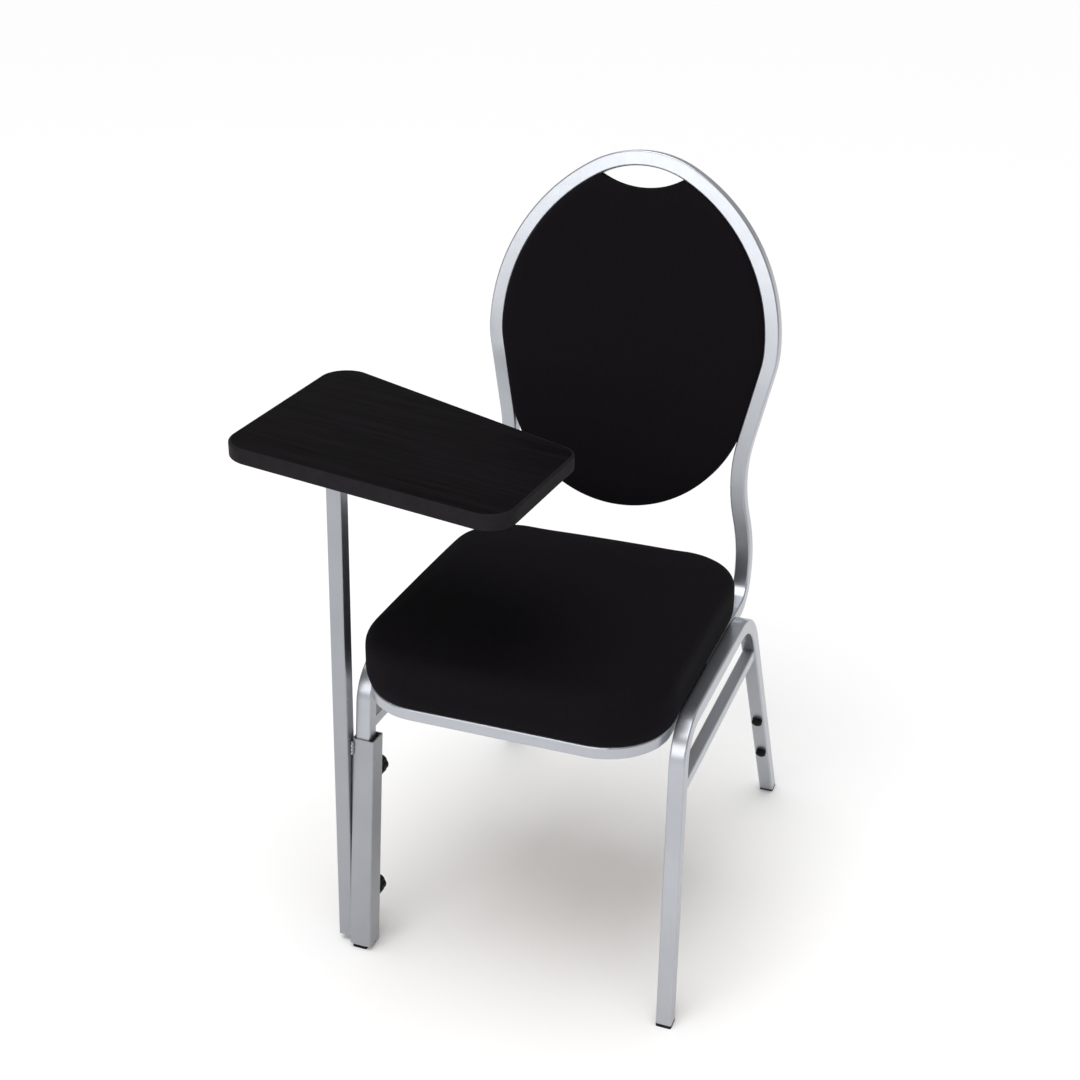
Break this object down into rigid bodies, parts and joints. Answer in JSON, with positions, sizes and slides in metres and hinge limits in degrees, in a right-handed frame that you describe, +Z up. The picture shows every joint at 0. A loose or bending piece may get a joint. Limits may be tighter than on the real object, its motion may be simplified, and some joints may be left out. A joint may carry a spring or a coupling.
{
  "type": "tablet arm chair",
  "caption": "Stacking banquet chair in square silver tube with a padded seat, a round padded back with a hand hold and a writing tablet on a post clamped to a front leg",
  "frame": {"origin": "on the floor, at the middle of the underside of the overall bounding box", "axes": "+Z up, -Y to the front where the sitter faces, +X to the sitter's left; the tablet is on the -X side"},
  "size_m": [0.534, 0.6747, 0.9332],
  "materials": {
    "silver_tube": "satin metallic powder coat",
    "black_plastic": "fine moulded grain",
    "plywood": "unfinished plywood",
    "black_fabric": "close woven upholstery cloth",
    "zinc_steel": "zinc plated",
    "black_woodgrain": "black wood grain laminate"
  },
  "bodies": {
    "chair": {"back_hoop": "silver_tube", "seat_front_rail": "silver_tube", "cross_rail_front": "silver_tube", "cross_rail_rear": "silver_tube", "leg_frame_left": "silver_tube", "leg_frame_right": "silver_tube", "side_stretcher_left": "silver_tube", "side_stretcher_right": "silver_tube", "foot_cap_front_left": "black_plastic", "foot_cap_front_right": "black_plastic", "foot_cap_rear_left": "black_plastic", "foot_cap_rear_right": "black_plastic", "stack_buttons_left": "black_plastic", "stack_buttons_right": "black_plastic", "seat_board": "plywood", "seat_cushion": "black_fabric", "seat_tee_nuts": "zinc_steel", "seat_screws": "zinc_steel", "back_tabs": "silver_tube", "back_screws": "zinc_steel", "back_board": "plywood", "back_pad": "black_fabric", "back_rear_cover": "black_fabric"},
    "tablet_arm": {"clamp_sleeve": "silver_tube", "clamp_nuts": "zinc_steel", "tablet_post": "silver_tube", "post_welds": "silver_tube", "tablet_plate": "silver_tube", "tablet_screws": "zinc_steel", "tablet_board": "black_woodgrain", "tablet_edge_band": "black_plastic"},
    "upper_stud": {"upper_clamp_stud": "zinc_steel"},
    "upper_knob": {"upper_clamp_knob": "black_plastic"},
    "lower_stud": {"lower_clamp_stud": "zinc_steel"},
    "lower_knob": {"lower_clamp_knob": "black_plastic"}
  },
  "joints": [
    {"name": "tablet_arm_slide", "type": "slide", "parent": "chair", "child": "tablet_arm", "axis": [0.0151, 0.0715, 0.9973], "range_m": [-0.004, 0.006]},
    {"name": "upper_clamp_feed", "type": "slide", "parent": "tablet_arm", "child": "upper_stud", "axis": [-0.0011, 0.9974, -0.0715], "range_m": [0, 0.005]},
    {"name": "upper_clamp_turn", "type": "hinge", "parent": "upper_stud", "child": "upper_knob", "pos_m": [-0.13584, -0.16812, 0.23657], "axis": [-0.0011, 0.9974, -0.0715], "range_deg": [-2, 1442]},
    {"name": "lower_clamp_feed", "type": "slide", "parent": "tablet_arm", "child": "lower_stud", "axis": [-0.0011, 0.9974, -0.0715], "range_m": [0, 0.005]},
    {"name": "lower_clamp_turn", "type": "hinge", "parent": "lower_stud", "child": "lower_knob", "pos_m": [-0.13843, -0.18035, 0.06602], "axis": [-0.0011, 0.9974, -0.0715], "range_deg": [-2, 1442]}
  ],
  "couplings": [
    {"joint": "upper_clamp_turn", "follows": "upper_clamp_feed", "rad_per_m": 5026.5},
    {"joint": "lower_clamp_turn", "follows": "lower_clamp_feed", "rad_per_m": 5026.5}
  ]
}
